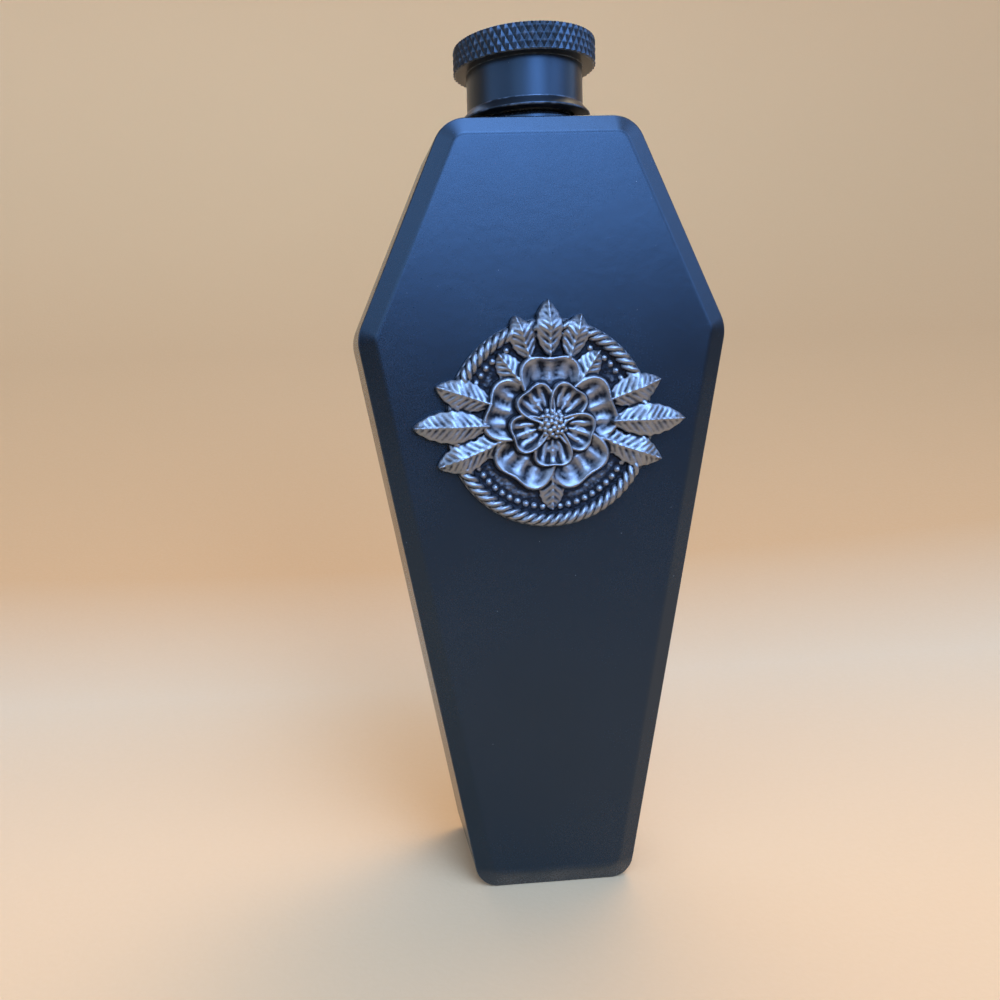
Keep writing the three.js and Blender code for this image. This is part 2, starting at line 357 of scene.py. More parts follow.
def coffin_ring(inset, depth):
    """The outline drawn in by inset, at one depth. Its corners tighten from the edge to the face."""
    corners = coffin_corners()
    ring = []
    tightness = min(max(inset, 0.0) / BEVEL_INSET, 1.0)
    for number, (across, up, radius) in enumerate(corners):
        before = np.array(corners[number - 1][:2])
        after = np.array(corners[(number + 1) % len(corners)][:2])
        place = np.array((across, up))
        arrive = (place - before) / np.linalg.norm(place - before)
        leave = (after - place) / np.linalg.norm(after - place)
        turn = np.arccos(np.clip(arrive @ leave, -1, 1))
        inward = (leave - arrive) / np.linalg.norm(leave - arrive)
        bend = radius + (FACE_CORNER - radius) * tightness
        centre = place + inward * (bend + inset) / cos(turn / 2)
        start = atan2(-inward[1], -inward[0]) - turn / 2
        for step in range(CORNER_STEPS + 1):
            angle = start + turn * step / CORNER_STEPS
            ring.append((centre[0] + bend * cos(angle), depth, centre[1] + bend * sin(angle)))
    return ring


def circle(radius, height, columns=TURNED_COLUMNS):
    """A level ring about the upright axis, of one radius or of one for each column."""
    angles = np.arange(columns) * 2 * pi / columns
    return np.column_stack([radius * np.cos(angles), radius * np.sin(angles), np.full(columns, height)])


# Pieces of the body
def panel(side):
    """A pressed panel: flat face, sloping rim and a short return that meets the band."""
    outside, wear = rounded([(0, JOINT_DEPTH, 0), (0, SEAM_DEPTH, EDGE_RADIUS),
                             (BEVEL_INSET, FACE_DEPTH, BEVEL_RADIUS), (FACE_RING_INSET, FACE_DEPTH, 0)])
    wear = [worn if inset < BEVEL_INSET / 2 else 0.0 for (inset, _), worn in zip(outside, wear)]
    inside = [(FACE_RING_INSET, FACE_DEPTH - SHEET), (BEVEL_INSET, FACE_DEPTH - SHEET),
              (SHEET, SEAM_DEPTH - SHEET / 2), (SHEET, JOINT_DEPTH)]
    shape = Shape()
    rings = [coffin_ring(inset, side * depth) for inset, depth in inside + outside]
    shape.loft(rings, [0.0] * len(inside) + wear)
    return shape.mesh("panel")


def side_band():
    """The bent strip between the panels, with the hole that the neck is let into."""
    shape = Shape()
    shape.loft([coffin_ring(0, -JOINT_DEPTH), coffin_ring(0, JOINT_DEPTH),
                coffin_ring(SHEET, JOINT_DEPTH), coffin_ring(SHEET, -JOINT_DEPTH)], loop=True)
    drill = Shape()
    drill.loft([circle(NECK_RADIUS, BODY_HEIGHT - DRILL_DEPTH), circle(NECK_RADIUS, BODY_HEIGHT + SHEET)])
    drill_object = bpy.data.objects.new("drill", drill.mesh("drill"))
    bpy.context.scene.collection.objects.link(drill_object)

    def bore(holder):
        cut = holder.modifiers.new("bore", "BOOLEAN")
        cut.operation = "DIFFERENCE"
        cut.solver = "EXACT"
        cut.object = drill_object

    mesh = changed_mesh(shape.mesh("band"), bore)
    bpy.data.objects.remove(drill_object)
    return mesh


def thread(crest, root, phase):
    """One helical ridge, right-handed, that fades out at both ends."""
    turns = (THREAD_HIGH - THREAD_LOW) / THREAD_PITCH
    count = int(turns * THREAD_STEPS)
    sunk = root - THREAD_SINK if crest > root else root + THREAD_SINK
    rings = []
    for step in range(count + 1):
        angle = 2 * pi * step / THREAD_STEPS
        fade = min(1.0, step / THREAD_FADE_STEPS, (count - step) / THREAD_FADE_STEPS)
        top = root + (crest - root) * max(fade, THREAD_LEAST)
        height = THREAD_LOW + THREAD_PITCH * (step / THREAD_STEPS + phase)
        section = [(sunk, -THREAD_ROOT_HALF), (root, -THREAD_ROOT_HALF),
                   (top, -THREAD_CREST_HALF), (top, THREAD_CREST_HALF),
                   (root, THREAD_ROOT_HALF), (sunk, THREAD_ROOT_HALF)]
        rings.append([(radius * cos(angle), radius * sin(angle), height + rise) for radius, rise in section])
    shape = Shape()
    shape.loft(rings)
    return shape


def neck():
    """The spout: a collar on the body in the second material, the paint, then a bare threaded tube."""
    low, high = NECK_LOW[2], NECK_HIGH[2]
    profile, wear = rounded([(NECK_BORE, low, 0), (NECK_RADIUS, low, 0), (NECK_RADIUS, BODY_HEIGHT, 0),
                             (COLLAR_RADIUS, BODY_HEIGHT, 0), (COLLAR_RADIUS, COLLAR_TOP, COLLAR_ROUND),
                             (NECK_RADIUS, COLLAR_TOP, COLLAR_ROUND / 2), (NECK_RADIUS, PAINT_TOP, 0),
                             (NECK_RADIUS, high, NECK_RIM), (NECK_BORE, high, NECK_RIM)])
    shape = Shape()
    shape.loft([circle(radius, height) for radius, height in profile], wear, loop=True)
    shape.add(thread(NECK_CREST, NECK_RADIUS, NECK_PHASE))
    mesh = shape.mesh("neck")
    for face in mesh.polygons:
        face.material_index = 1 if face.center.z * METRE < PAINT_TOP else 0
    return mesh


# Pieces of the cap
def knurl_rise(column, step):
    """How far a point of the knurl stands out, from 0 in the cross-cut grooves to 1 on a diamond's flat."""
    around = 2 * column / DIAMOND_COLUMNS
    along = step / ROW_STEPS
    slant = (around + along) / 2
    counter = (around - along) / 2
    far = np.maximum(abs(slant - np.round(slant)), abs(counter - np.round(counter)))
    return np.minimum((1 - 2 * far) / (1 - KNURL_FLAT), 1.0)


def knurl_rings():
    """The rings of the knurled rim, upwards, and how worn the tips of its diamonds are; the same share sets
    their painted highlight.
    """
    low = RIM_LOW + KNURL_MARGIN
    high = CAP_TOP - KNURL_MARGIN
    columns = np.arange(CAP_COLUMNS)
    steps = int(KNURL_ROWS * ROW_STEPS)
    rings, wear = [], []
    for step in range(steps + 1):
        rise = knurl_rise(columns, step)
        radius = CAP_RIM - KNURL_DEPTH * (1 - rise)
        rings.append(circle(radius, low + (high - low) * step / steps, CAP_COLUMNS))
        wear.append(rise ** TIP_RUB_AND_HIGHLIGHT)
    return rings, wear


def split_knurl(shape, first_ring, last_ring):
    """Splits the knurl's quads along their lower diagonal, so that each groove is one straight line."""
    reach = np.hypot(*np.array(shape.points)[:, :2].T)
    low, high = first_ring * CAP_COLUMNS, last_ring * CAP_COLUMNS
    faces = []
    for face in shape.faces:
        if len(face) != 4 or min(face) < low or max(face) >= high + CAP_COLUMNS:
            faces.append(face)
            continue
        a, b, c, d = face
        if reach[a] + reach[c] < reach[b] + reach[d]:
            faces += [(a, b, c), (a, c, d)]
        else:
            faces += [(a, b, d), (b, c, d)]
    shape.faces = faces


def cap():
    """The screw cap: threaded bore, flared foot, plain waist and knurled rim."""
    roof = CAP_TOP - CAP_ROOF
    rim_edge = CAP_RIM - KNURL_DEPTH - KNURL_MARGIN / 2
    lower, lower_wear = rounded([
        (CAP_BORE, roof, 0), (CAP_BORE, CAP_FOOT + MOUTH_CHAMFER, 0), (CAP_BORE + MOUTH_CHAMFER, CAP_FOOT, 0),
        (CAP_FLARE, CAP_FOOT, FLARE_EDGE), (CAP_WAIST, FLARE_TOP, FLARE_ROUND),
        (CAP_WAIST, RIM_LOW, RIM_ROUND), (rim_edge, RIM_LOW, CAP_EDGE),
        (rim_edge + KNURL_MARGIN / 2, RIM_LOW + KNURL_MARGIN, 0)])
    knurl, knurl_wear = knurl_rings()
    upper, upper_wear = rounded([
        (CAP_RIM - KNURL_DEPTH, CAP_TOP - KNURL_MARGIN, 0), (rim_edge - KNURL_MARGIN / 2, CAP_TOP, CAP_EDGE),
        (CAP_RIM / 2, CAP_TOP, 0), (CAP_MIDDLE, CAP_TOP, 0)])
    rings = [circle(radius, height, CAP_COLUMNS) for radius, height in lower[:-1]]
    rings += knurl
    rings += [circle(radius, height, CAP_COLUMNS) for radius, height in upper[1:]]
    shape = Shape()
    shape.loft(rings, lower_wear[:-1] + knurl_wear + upper_wear[1:])
    below_knurl = len(lower) - 2
    above_knurl = below_knurl + 1 + len(knurl)
    split_knurl(shape, below_knurl, above_knurl)
    shape.add(thread(CAP_CREST, CAP_BORE, CAP_PHASE))
    return shape.mesh("cap")


def cap_liner():
    """The sealing disc, with a raised bead that meets the neck's rim."""
    low, high = LINER_LOW[2], LINER_HIGH[2]
    edge = LINER_HIGH[0]
    seal = (NECK_BORE + NECK_RADIUS) / 2
    level = low + SEAL_HEIGHT
    profile, wear = rounded([(LINER_MIDDLE, level, 0), (seal - SEAL_INSIDE, level, SEAL_FILLET),
                             (seal - SEAL_HALF, low, LINER_ROUND), (seal + SEAL_HALF, low, LINER_ROUND),
                             (seal + SEAL_OUTSIDE, level, SEAL_FILLET), (edge, level, LINER_ROUND),
                             (edge, high, LINER_ROUND), (LINER_MIDDLE, high, 0)])
    shape = Shape()
    shape.loft([circle(radius, height) for radius, height in profile], wear)
    return shape.mesh("liner")


# Parts of the badge, each a closed shell in the badge's own plane
def disc():
    """The round plate that carries the relief."""
    profile, _ = rounded([(PLATE_MIDDLE, 0, 0), (PLATE_RADIUS, 0, 0),
                          (PLATE_RADIUS, PLATE_THICKNESS, PLATE_EDGE), (PLATE_MIDDLE, PLATE_THICKNESS, 0)])
    shape = Shape()
    shape.loft([circle(radius, height) for radius, height in profile])
    return shape


def rope():
    """Strands twisted round the edge of the plate."""
    twist = ROPE_TWIST * ROPE_RADIUS
    strand = ROPE_RADIUS - twist
    steps = ROPE_TURNS * ROPE_TURN_STEPS
    shape = Shape()
    for number in range(ROPE_STRANDS):
        rings = []
        for step in range(steps):
            angle = 2 * pi * step / steps
            turn = ROPE_TURNS * angle + 2 * pi * number / ROPE_STRANDS
            centre = ROPE_CENTRE + twist * cos(turn)
            height = ROPE_RADIUS + twist * sin(turn)
            ring = []
            for side in range(STRAND_SIDES):
                bend = 2 * pi * side / STRAND_SIDES
                out = centre + strand * cos(bend)
                ring.append((out * cos(angle), out * sin(angle), height + strand * sin(bend)))
            rings.append(ring)
        shape.loft(rings, loop=True)
    return shape


def bead(across, up, out, radius):
    """A small ball, partly sunk in what carries it."""
    rings = []
    for row in range(1, BEAD_ROWS):
        tilt = pi * row / BEAD_ROWS
        rings.append([(across + x, up + y, out - radius * cos(tilt))
                      for x, y, _ in circle(radius * sin(tilt), 0, BEAD_COLUMNS)])
    shape = Shape()
    shape.loft(rings)
    return shape


def bead_ring():
    """The ring of beads inside the rope."""
    shape = Shape()
    for number in range(BEAD_COUNT):
        angle = 2 * pi * number / BEAD_COUNT
        shape.add(bead(BEAD_CENTRE * cos(angle), BEAD_CENTRE * sin(angle), PLATE_THICKNESS, BEAD_RADIUS))
    return shape


def petal_outline(reach, width, notch):
    """The edge of a heart-shaped petal that points across."""
    outline = []
    for point in range(PETAL_POINTS):
        angle = 2 * pi * point / PETAL_POINTS
        from_tip = min(angle, 2 * pi - angle)
        out = (1 + cos(angle)) / 2
        dip = notch * np.exp(-(from_tip / PETAL_NOTCH_WIDTH) ** 2)
        fullness = PETAL_NARROW + (1 - PETAL_NARROW) * out
        outline.append((reach * out - dip, width / 2 * sin(angle) * fullness))
    return outline


def petal(reach, width, notch, height):
    """A petal dished inside a rolled rim, with fanned veins, one edge lapping the next."""
    outline = petal_outline(reach, width, notch)
    middle = PETAL_MIDDLE * reach
    floor = PETAL_FLOOR - height
    rings = []
    for scale, drop in [(1.0, floor)] + PETAL_SECTION:
        vein_height = PETAL_VEIN_HEIGHT if scale < PETAL_DISH else 0.0
        vein_fade = min(1.0, PETAL_VEIN_FADE * (1 - scale))
        curl_height = PETAL_CURL_HEIGHT if PETAL_RIM_INSIDE < scale < PETAL_RIM_OUTSIDE else 0.0
        lapping = PETAL_LAP if drop > floor else 0.0
        ring = []
        for along, across in outline:
            x = middle + scale * (along - middle)
            y = scale * across
            fan = atan2(y, x + PETAL_FAN_ROOT * reach)
            vein = vein_height * cos(PETAL_VEINS * fan) * vein_fade
            curl = curl_height * cos(PETAL_CURLS * fan)
            ring.append((x, y, height + drop + vein + lapping * y + curl))
        rings.append(ring)
    shape = Shape()
    shape.loft(rings)
    return shape


def leaf(root, reach, width, height):
    """A pointed leaf with a toothed edge, a raised midrib and side veins."""
    spans = np.linspace(-1, 1, LEAF_SPANS)
    rings = []
    for station in range(LEAF_STATIONS + 1):
        along = LEAF_TIP + (1 - 2 * LEAF_TIP) * station / LEAF_STATIONS
        x = root + (reach - root) * along
        tooth = 1 - abs(2 * ((LEAF_TEETH * along) % 1) - 1)
        teeth = 1 + LEAF_TOOTH_DEPTH * tooth - LEAF_TOOTH_ROOT
        half = width / 2 * (4 * along * (1 - along)) ** LEAF_FULLNESS * teeth
        arch = ROPE_ARCH * np.exp(-((x - ROPE_CENTRE) / ROPE_RADIUS / ROPE_ARCH_WIDTH) ** 2)
        crown = height * (1 - LEAF_FALL * along ** 2) + arch
        edge = crown - LEAF_SLOPE
        ring = [(x, -half, LEAF_FOOT)]
        for span in spans:
            y = span * half
            blade = edge + (crown - edge) * (1 - abs(span)) ** LEAF_DOME
            rib = LEAF_RIB_HEIGHT * np.exp(-(y / LEAF_RIB_WIDTH) ** 2)
            wave = cos(2 * pi * (x - LEAF_VEIN_SLANT * abs(y)) / LEAF_VEIN_PITCH)
            vein = LEAF_VEIN_HEIGHT * wave * min(1.0, LEAF_VEIN_FADE * (1 - abs(span)))
            ring.append((x, y, blade + rib + vein * min(1.0, half)))
        ring.append((x, half, LEAF_FOOT))
        rings.append(ring)
    shape = Shape()
    shape.loft(rings)
    return shape


def boss():
    """The seeded eye of the rose."""
    rise = BOSS_HEIGHT - INNER_PETAL["height"] + BOSS_SINK
    base = BOSS_HEIGHT - rise
    profile = [(BOSS_RADIUS, PETAL_FLOOR)]
    for row in range(BOSS_ROWS):
        tilt = pi / 2 * row / BOSS_ROWS
        profile.append((BOSS_RADIUS * cos(tilt), base + rise * sin(tilt)))
    shape = Shape()
    shape.loft([circle(radius, height, BOSS_COLUMNS) for radius, height in profile])
    golden = pi * (3 - 5 ** 0.5)
    for number in range(SEED_COUNT):
        out = ((number + 0.5) / SEED_COUNT) ** 0.5 * SEED_REACH
        lift = base + rise * (1 - out ** 2) ** 0.5 - SEED_SINK * SEED_RADIUS
        angle = number * golden
        shape.add(bead(BOSS_RADIUS * out * cos(angle), BOSS_RADIUS * out * sin(angle), lift, SEED_RADIUS))
    return shape


def swung(shape, angle):
    """A shape turned in the badge's plane."""
    turn_cos, turn_sin = cos(angle), sin(angle)
    return shape.moved(lambda x, y, z: (x * turn_cos - y * turn_sin, x * turn_sin + y * turn_cos, z))


def rose():
    """A double rose with a sepal between each two outer petals."""
    shape = boss()
    for number in range(PETALS):
        angle = pi / 2 + 2 * pi * number / PETALS
        between = angle + pi / PETALS
        shape.add(swung(petal(**OUTER_PETAL), angle))
        shape.add(swung(petal(**INNER_PETAL), between))
        shape.add(swung(leaf(**SEPAL), between))
    return shape


def sprig(angle, middle, side, spread):
    """Three leaves that fan out past the rope."""
    shape = swung(leaf(**middle), angle)
    for turn in (-spread, spread):
        shape.add(swung(leaf(**side), angle + turn))
    return shape


def badge_shape():
    """All the shells of the badge, still separate."""
    shape = disc()
    shape.add(rope())
    shape.add(bead_ring())
    shape.add(rose())
    shape.add(sprig(0, SPRIG_LEAF, SPRIG_SIDE_LEAF, SPRIG_SPREAD))
    shape.add(sprig(pi, SPRIG_LEAF, SPRIG_SIDE_LEAF, SPRIG_SPREAD))
    shape.add(sprig(pi / 2, CREST_LEAF, CREST_SIDE_LEAF, CREST_SPREAD))
    return shape


def neighbour_mean(points, edges):
    """The mean place of each point's neighbours."""
    one, other = edges.T
    count = len(points)
    total = np.empty_like(points)
    for axis in range(3):
        total[:, axis] = np.bincount(one, points[other, axis], count)
        total[:, axis] += np.bincount(other, points[one, axis], count)
    return total / np.bincount(edges.ravel(), minlength=count)[:, None]


def badge():
    """One cast skin round all the shells, a little softened, that knows how deep its hollows are."""
    def skin(holder):
        remesh = holder.modifiers.new("skin", "REMESH")
        remesh.mode = "VOXEL"
        remesh.voxel_size = CAST_VOXEL

    mesh = changed_mesh(badge_shape().mesh("pattern", unit=1.0), skin)
    count = len(mesh.vertices)
    points = np.empty(count * 3)
    mesh.vertices.foreach_get("co", points)
    points = points.reshape(-1, 3)
    edges = np.empty(len(mesh.edges) * 2, int)
    mesh.edges.foreach_get("vertices", edges)
    edges = edges.reshape(-1, 2)
    points = (points + neighbour_mean(points, edges)) / 2
    normals = np.empty(count * 3)
    mesh.vertex_normals.foreach_get("vector", normals)
    smooth = points
    for _ in range(HOLLOW_REACH):
        smooth = neighbour_mean(smooth, edges)
    hollow = ((smooth - points) * normals.reshape(-1, 3)).sum(1) / HOLLOW_DEPTH
    placed = np.column_stack([points[:, 0], BADGE_BACK - points[:, 2], BADGE_HEIGHT + points[:, 1]]) / METRE
    mesh.vertices.foreach_set("co", placed.ravel())
    for name, values in (("hollow", hollow), ("height", points[:, 2])):
        mesh.attributes.new(name, "FLOAT", "POINT").data.foreach_set("value", values)
    face_outwards(mesh)
    return mesh


# Materials: sizes and depths in metres, field heights in millimetres, radii and edges as shares of a cell
NOISE_LOW = 0.3
NOISE_HIGH = 0.7

PAINT_IOR = 1.6
# Painted blue reflection: the paint's specular tint stands in for blue daylight in its sheen
PAINTED_BLUE_REFLECTION_TINT = (0.42, 0.68, 1.0, 1.0)
PAINT_DARK = (0.0055, 0.006, 0.007)
PAINT_HAZY = (0.0095, 0.0102, 0.0115)
PAINT_ROUGH = (0.22, 0.28)
HAZE_SIZE = 0.03
GRAIN_SIZE = 0.00035
GRAIN_DEPTH = 0.0000045
GRAIN_ROUGH = (-0.02, 0.03)
PEEL_SIZE = 0.0022
PEEL_DEPTH = 0.000014
SAG_SIZE = 0.045
SAG_DEPTH = 0.0004
RUB_AND_HIGHLIGHT_SIZE = 0.0016
RUB_AND_HIGHLIGHT_RANGE = (0.42, 0.68)
RUB_POLISH = 0.08
# Worn paint, lightened and tinted blue as a painted highlight on edges and knurl tips
RUB_AND_HIGHLIGHT_COLOUR = (0.07, 0.085, 0.11)
DUST_CELL = 0.0026
DUST_RADIUS = 0.03
DUST_PATCH = 0.006
DUST_CHOICE = 0.58
DUST_SHARE = 0.6
DUST_COLOUR = (0.28, 0.27, 0.25)
# Painted reflection of the warm floor, lightening the lowest few millimetres of the body
FOOT_REFLECTION_SIZE = 0.004
FOOT_REFLECTION_TOP = 0.0045
FOOT_REFLECTION_LOW = 0.002
FOOT_REFLECTION_SHARE = 0.22
FOOT_REFLECTION_COLOUR = (0.28, 0.19, 0.115)
BODY_MATT = 0.0
# Strength of worn edges and their painted highlight: slight on the body, full on the cap's knurl tips
BODY_RUB_AND_HIGHLIGHT = 0.35
CAP_MATT = 0.06
CAP_RUB_AND_HIGHLIGHT = 1.8

PEWTER_GREY = (0.205, 0.228, 0.26)
PEWTER_PALE = (0.32, 0.345, 0.385)
PEWTER_BLACK = (0.018, 0.021, 0.028)
PEWTER_ROUGH = (0.3, 0.44)
PEWTER_BLACK_ROUGH = 0.2
STAIN_SIZE = 0.0012
STAIN_REACH = (-0.25, 0.25)
BRUSH_STRETCH = (0.0011, 0.0011, 0.00016)
BRUSH_DEPTH = 0.00002
PIT_SIZE = 0.00028
PIT_DEPTH = 0.00002
FIELD_TOP = 1.6
FIELD_LOW = 0.9
FIELD_SHARE = 0.6
STIPPLE_CELL = 0.0008
STIPPLE_DEPTH = 0.0002
PEWTER_BLACKENED = (-0.15, 0.8)

STEEL_GREY = (0.50, 0.51, 0.52)
STEEL_PALE = (0.62, 0.625, 0.63)
LATHE_STRETCH = (0.01, 0.01, 0.00009)
LATHE_DEPTH = 0.00001
LATHE_ROUGH = (0.2, 0.32)
SMEAR_SIZE = 0.004
SMEAR_ROUGH = (0.0, 0.1)

SILICONE_DARK = (0.58, 0.57, 0.53)
SILICONE_PALE = (0.68, 0.67, 0.63)
SILICONE_CLOUD_SIZE = 0.003
SILICONE_GRAIN_SIZE = 0.0002
SILICONE_GRAIN_DEPTH = 0.00001
SILICONE_ROUGH = (0.45, 0.62)
SILICONE_GLOW = 0.15
SILICONE_GLOW_DEPTH = 0.001

FOAM_DARK = (0.012, 0.012, 0.013)
FOAM_PALE = (0.03, 0.03, 0.032)
FOAM_CELL = 0.00035
FOAM_CELL_EDGE = 0.6
FOAM_DEPTH = 0.00004
FOAM_ROUGH = (0.75, 0.95)

# Paper: each tone between two colours, and where along its depth and height one turns into the next. The
# darker front floor and low wall are painted shade, the paler high wall painted light
SHADED_FRONT_FLOOR = (0.43, 0.285, 0.154), (0.456, 0.302, 0.167)
NEAR_FLOOR = (0.645, 0.412, 0.21), (0.685, 0.44, 0.228)
FAR_FLOOR = (0.57, 0.415, 0.247), (0.605, 0.44, 0.264)
SHADED_LOW_WALL = (0.54, 0.288, 0.112), (0.566, 0.302, 0.121)
LIT_HIGH_WALL = (0.85, 0.484, 0.206), (0.90, 0.515, 0.222)
FRONT_TO_NEAR = (0.5, 0.74)
NEAR_TO_FAR = (0.82, 0.95)
FLOOR_TO_WALL = (0.95, 1.05)
LOW_TO_HIGH = (0.12, 0.42)
PAPER_TONE_SIZE = 0.25
FIBRE_SIZE = 0.0012
FIBRE_DEPTH = 0.00006
FIBRE_ROUGH = (0.8, 0.95)


class Graph:
    """The nodes of one material. An input is a plain value or another node's output."""

    def __init__(self, name):
        self.material = bpy.data.materials.new(name)
        self.material.use_nodes = True
        self.nodes = self.material.node_tree.nodes
        self.links = self.material.node_tree.links
        self.shader = self.nodes["Principled BSDF"]
        self.place = self.nodes.new("ShaderNodeTexCoord").outputs["Object"]

    def put(self, socket, value):
        """Links an output to a socket, or sets the socket to a plain value."""
        if isinstance(value, bpy.types.NodeSocket):
            self.links.new(value, socket)
        else:
            socket.default_value = value

    def surface(self, **inputs):
        """Sets the shader's sockets, named with _ for a space."""
        for name, value in inputs.items():
            self.put(self.shader.inputs[name.replace("_", " ")], value)
        return self.material

    def noise(self, size, detail, stretch=None):
        """Noise with features of about size. With a size of 1, stretch gives their size along each axis."""
        node = self.nodes.new("ShaderNodeTexNoise")
        node.inputs["Scale"].default_value = 1 / size
        node.inputs["Detail"].default_value = detail
        place = self.place
        if stretch:
            mapping = self.nodes.new("ShaderNodeMapping")
            mapping.inputs["Scale"].default_value = [1 / length for length in stretch]
            self.links.new(self.place, mapping.inputs["Vector"])
            place = mapping.outputs["Vector"]
        self.links.new(place, node.inputs["Vector"])
        return node.outputs["Fac"]

    def cells(self, size):
        """How far a point lies from the middle of its cell, in cells of about size."""
        node = self.nodes.new("ShaderNodeTexVoronoi")
        node.inputs["Scale"].default_value = 1 / size
        self.links.new(self.place, node.inputs["Vector"])
        return node.outputs["Distance"]

    def coordinate(self, axis):
        """How far a point lies along an axis of its object, in metres."""
        node = self.nodes.new("ShaderNodeSeparateXYZ")
        self.links.new(self.place, node.inputs[0])
        return node.outputs[axis]

    def attribute(self, name):
        """A value that the mesh carries at its points."""
        node = self.nodes.new("ShaderNodeAttribute")
        node.attribute_name = name
        return node.outputs["Fac"]

    def math(self, operation, one, other):
        """One step of arithmetic on two inputs."""
        node = self.nodes.new("ShaderNodeMath")
        node.operation = operation
        self.put(node.inputs[0], one)
        self.put(node.inputs[1], other)
        return node.outputs[0]

    def remap(self, value, low, high, to_low=0.0, to_high=1.0):
        """A value moved from one range to another, and kept inside it."""
        node = self.nodes.new("ShaderNodeMapRange")
        for name, number in zip(("From Min", "From Max", "To Min", "To Max"), (low, high, to_low, to_high)):
            node.inputs[name].default_value = number
        self.links.new(value, node.inputs["Value"])
        return node.outputs["Result"]

    def spread(self, noise, low, high):
        """Noise spread over a range."""
        return self.remap(noise, NOISE_LOW, NOISE_HIGH, low, high)

    def mix(self, share, one, other):
        """A colour between two colours."""
        node = self.nodes.new("ShaderNodeMix")
        node.data_type = "RGBA"
        self.put(node.inputs["Factor"], share)
        for socket, value in zip([s for s in node.inputs if s.type == "RGBA"], (one, other)):
            self.put(socket, value if isinstance(value, bpy.types.NodeSocket) else (*value, 1.0))
        return next(s for s in node.outputs if s.type == "RGBA")

    def bump(self, height, depth, normal=None):
        """Relief of a depth in metres, over another relief if given."""
        node = self.nodes.new("ShaderNodeBump")
        node.inputs["Distance"].default_value = depth
        self.links.new(height, node.inputs["Height"])
        if normal:
            self.links.new(normal, node.inputs["Normal"])
        return node.outputs["Normal"]


def satin_paint(name, matt, rub_and_highlight):
    """Baked satin black paint: grain, orange peel, handling haze and dust, worn edges with a painted
    highlight, a painted blue reflection tint and a painted warm floor reflection at the foot.
    """
    g = Graph(name)
    haze = g.noise(HAZE_SIZE, detail=4)
    grain = g.noise(GRAIN_SIZE, detail=3)
    peel = g.noise(PEEL_SIZE, detail=1)
    sag = g.noise(SAG_SIZE, detail=0)
    rub_and_highlight_mask = g.math("MULTIPLY", g.attribute("wear"), g.remap(g.noise(RUB_AND_HIGHLIGHT_SIZE, detail=4), *RUB_AND_HIGHLIGHT_RANGE))
    speck = g.math("LESS_THAN", g.cells(DUST_CELL), DUST_RADIUS)
    chosen = g.math("GREATER_THAN", g.noise(DUST_PATCH, detail=0), DUST_CHOICE)
    dust = g.math("MULTIPLY", speck, chosen)
    # Painted warm floor reflection, fading out above the foot
    foot_reflection = g.math("MULTIPLY", g.remap(g.coordinate("Z"), FOOT_REFLECTION_TOP, FOOT_REFLECTION_LOW), g.noise(FOOT_REFLECTION_SIZE, detail=3))
    colour = g.mix(haze, PAINT_DARK, PAINT_HAZY)
    # Worn edges and knurl tips: lighter, bluer paint that is partly a painted highlight
    colour = g.mix(g.math("MULTIPLY", rub_and_highlight_mask, rub_and_highlight), colour, RUB_AND_HIGHLIGHT_COLOUR)
    colour = g.mix(g.math("MULTIPLY", dust, DUST_SHARE), colour, DUST_COLOUR)
    colour = g.mix(g.math("MULTIPLY", foot_reflection, FOOT_REFLECTION_SHARE), colour, FOOT_REFLECTION_COLOUR)
    low, high = PAINT_ROUGH
    rough = g.math("ADD", g.spread(haze, low + matt, high + matt), g.spread(grain, *GRAIN_ROUGH))
    rough = g.math("SUBTRACT", rough, g.math("MULTIPLY", rub_and_highlight_mask, RUB_POLISH))
    relief = g.bump(sag, SAG_DEPTH)
    relief = g.bump(peel, PEEL_DEPTH, relief)
    relief = g.bump(grain, GRAIN_DEPTH, relief)
    # The specular tint gives every reflection in the paint a painted blue cast
    return g.surface(Base_Color=colour, Roughness=rough, Normal=relief,
                     IOR=PAINT_IOR, Specular_Tint=PAINTED_BLUE_REFLECTION_TINT)


def cast_pewter():
    """Antiqued pewter: bright where it is worn, dark in its hollows, with a brushed grain."""
    g = Graph("cast_pewter")
    stain = g.noise(STAIN_SIZE, detail=4)
    brush = g.noise(1.0, detail=2, stretch=BRUSH_STRETCH)
    pits = g.noise(PIT_SIZE, detail=3)
    deep = g.math("ADD", g.attribute("hollow"), g.spread(stain, *STAIN_REACH))
    field = g.remap(g.attribute("height"), FIELD_TOP, FIELD_LOW)
    stipple = g.math("MULTIPLY", g.cells(STIPPLE_CELL), field)
    dark = g.remap(g.math("ADD", deep, g.math("MULTIPLY", field, FIELD_SHARE)), *PEWTER_BLACKENED)
    colour = g.mix(brush, PEWTER_GREY, PEWTER_PALE)
    colour = g.mix(dark, colour, PEWTER_BLACK)
    rough = g.math("ADD", g.spread(brush, *PEWTER_ROUGH), g.math("MULTIPLY", dark, PEWTER_BLACK_ROUGH))
    relief = g.bump(stipple, STIPPLE_DEPTH)
    relief = g.bump(brush, BRUSH_DEPTH, relief)
    relief = g.bump(pits, PIT_DEPTH, relief)
    return g.surface(Base_Color=colour, Roughness=rough, Normal=relief, Metallic=1.0)


def turned_steel():
    """Bare steel with the fine rings that a lathe leaves."""
    g = Graph("turned_steel")
    rings = g.noise(1.0, detail=2, stretch=LATHE_STRETCH)
    smear = g.noise(SMEAR_SIZE, detail=3)
    colour = g.mix(smear, STEEL_GREY, STEEL_PALE)
    rough = g.math("ADD", g.spread(rings, *LATHE_ROUGH), g.spread(smear, *SMEAR_ROUGH))
    return g.surface(Base_Color=colour, Roughness=rough, Normal=g.bump(rings, LATHE_DEPTH), Metallic=1.0)


